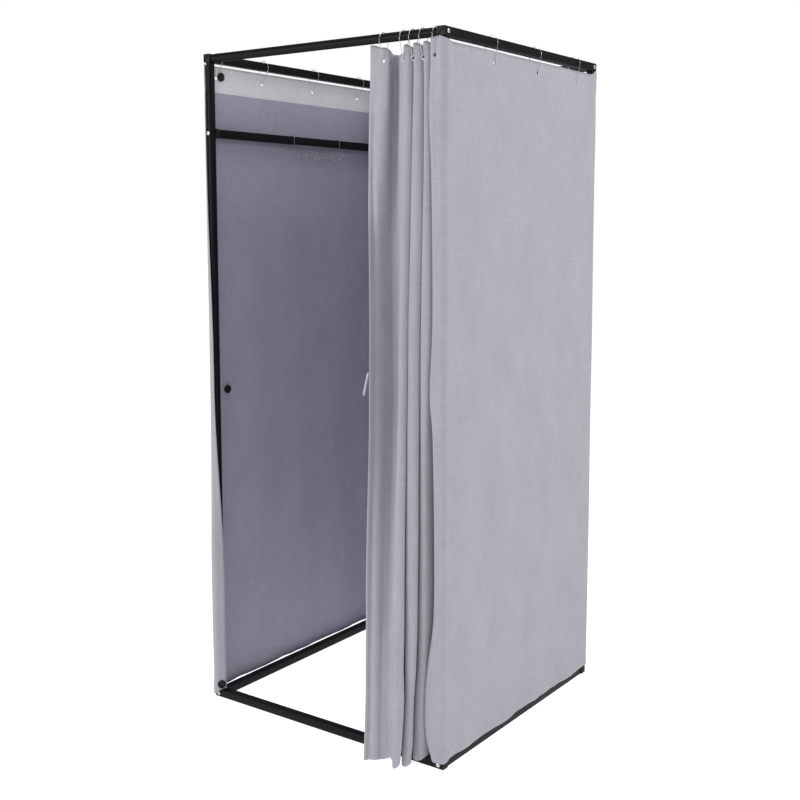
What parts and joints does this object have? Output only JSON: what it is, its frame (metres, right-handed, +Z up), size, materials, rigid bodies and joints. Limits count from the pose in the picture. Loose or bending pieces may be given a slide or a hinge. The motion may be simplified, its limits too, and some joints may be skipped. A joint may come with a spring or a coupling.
{
  "type": "portable fitting room",
  "caption": "Portable fitting room: a square black steel tube frame hung with grey cloth walls, a sliding front curtain on wire rings and a hook rack on a crossbar.",
  "frame": {"origin": "on the floor, under the middle of the bounding box", "axes": "+Z up, +X to the right along the front, +Y from the front to the back"},
  "size_m": [0.8876, 0.965, 2.0075],
  "materials": {
    "black_steel": "satin black powder coat",
    "black_plastic": "moulded black",
    "screw_steel": "plated",
    "ring_steel": "bright wire",
    "hook_steel": "bright wire",
    "grey_cloth": "plain weave with stitched hems",
    "white_tape": "woven tape"
  },
  "bodies": {
    "frame": {"top_rail_left": "black_steel", "top_rail_right": "black_steel", "top_rail_front": "black_steel", "top_rail_back": "black_steel", "bottom_bar_left": "black_steel", "bottom_bar_right": "black_steel", "bottom_bar_front": "black_steel", "bottom_bar_back": "black_steel", "post_front_left": "black_steel", "post_back_left": "black_steel", "post_front_right": "black_steel", "post_back_right": "black_steel", "rail_plug_front_left": "black_plastic", "rail_plug_back_left": "black_plastic", "rail_plug_front_right": "black_plastic", "rail_plug_back_right": "black_plastic", "bar_plug_front_left": "black_plastic", "bar_plug_back_left": "black_plastic", "bar_plug_front_right": "black_plastic", "bar_plug_back_right": "black_plastic", "rail_screw_front_left": "screw_steel", "rail_screw_back_left": "screw_steel", "rail_screw_front_right": "screw_steel", "rail_screw_back_right": "screw_steel", "bar_screw_front_left": "screw_steel", "bar_screw_back_left": "screw_steel", "bar_screw_front_right": "screw_steel", "bar_screw_back_right": "screw_steel", "crossbar": "black_steel", "saddle_front": "black_plastic", "saddle_back": "black_plastic", "crossbar_screw_front": "screw_steel", "crossbar_screw_back": "screw_steel", "wall_ring_left_corner": "ring_steel", "wall_ring_left_front": "ring_steel", "wall_ring_left_middle": "ring_steel", "wall_ring_left_back": "ring_steel", "wall_ring_right_front": "ring_steel", "wall_ring_right_middle": "ring_steel", "wall_ring_right_back": "ring_steel", "wall_ring_back_left": "ring_steel", "wall_ring_back_middle": "ring_steel", "wall_ring_back_right": "ring_steel", "wall_ring_return": "ring_steel", "left_wall": "grey_cloth", "right_wall": "grey_cloth", "back_wall": "grey_cloth", "closing_button_top": "black_plastic", "closing_button_middle": "black_plastic", "closing_button_bottom": "black_plastic"},
    "curtain": {"front_curtain": "grey_cloth", "curtain_ring_lead": "ring_steel", "closing_loop": "white_tape"},
    "second_ring": {"curtain_ring_second": "ring_steel"},
    "third_ring": {"curtain_ring_third": "ring_steel"},
    "fourth_ring": {"curtain_ring_fourth": "ring_steel"},
    "rack": {"hook_rack": "hook_steel"}
  },
  "joints": [
    {"name": "curtain_slide", "type": "slide", "parent": "frame", "child": "curtain", "axis": [-1, 0, 0], "range_m": [0, 0.59], "deforming": ["front_curtain"]},
    {"name": "second_ring_slide", "type": "slide", "parent": "frame", "child": "second_ring", "axis": [-1, 0, 0], "range_m": [0, 0.3786]},
    {"name": "third_ring_slide", "type": "slide", "parent": "frame", "child": "third_ring", "axis": [-1, 0, 0], "range_m": [0, 0.2176]},
    {"name": "fourth_ring_slide", "type": "slide", "parent": "frame", "child": "fourth_ring", "axis": [-1, 0, 0], "range_m": [0, 0.0704]},
    {"name": "rack_slide", "type": "slide", "parent": "frame", "child": "rack", "axis": [0, 1, 0], "range_m": [-0.335, 0.215]}
  ],
  "couplings": [
    {"joint": "second_ring_slide", "follows": "curtain_slide", "ratio": 0.6409},
    {"joint": "third_ring_slide", "follows": "curtain_slide", "ratio": 0.368},
    {"joint": "fourth_ring_slide", "follows": "curtain_slide", "ratio": 0.1185}
  ]
}
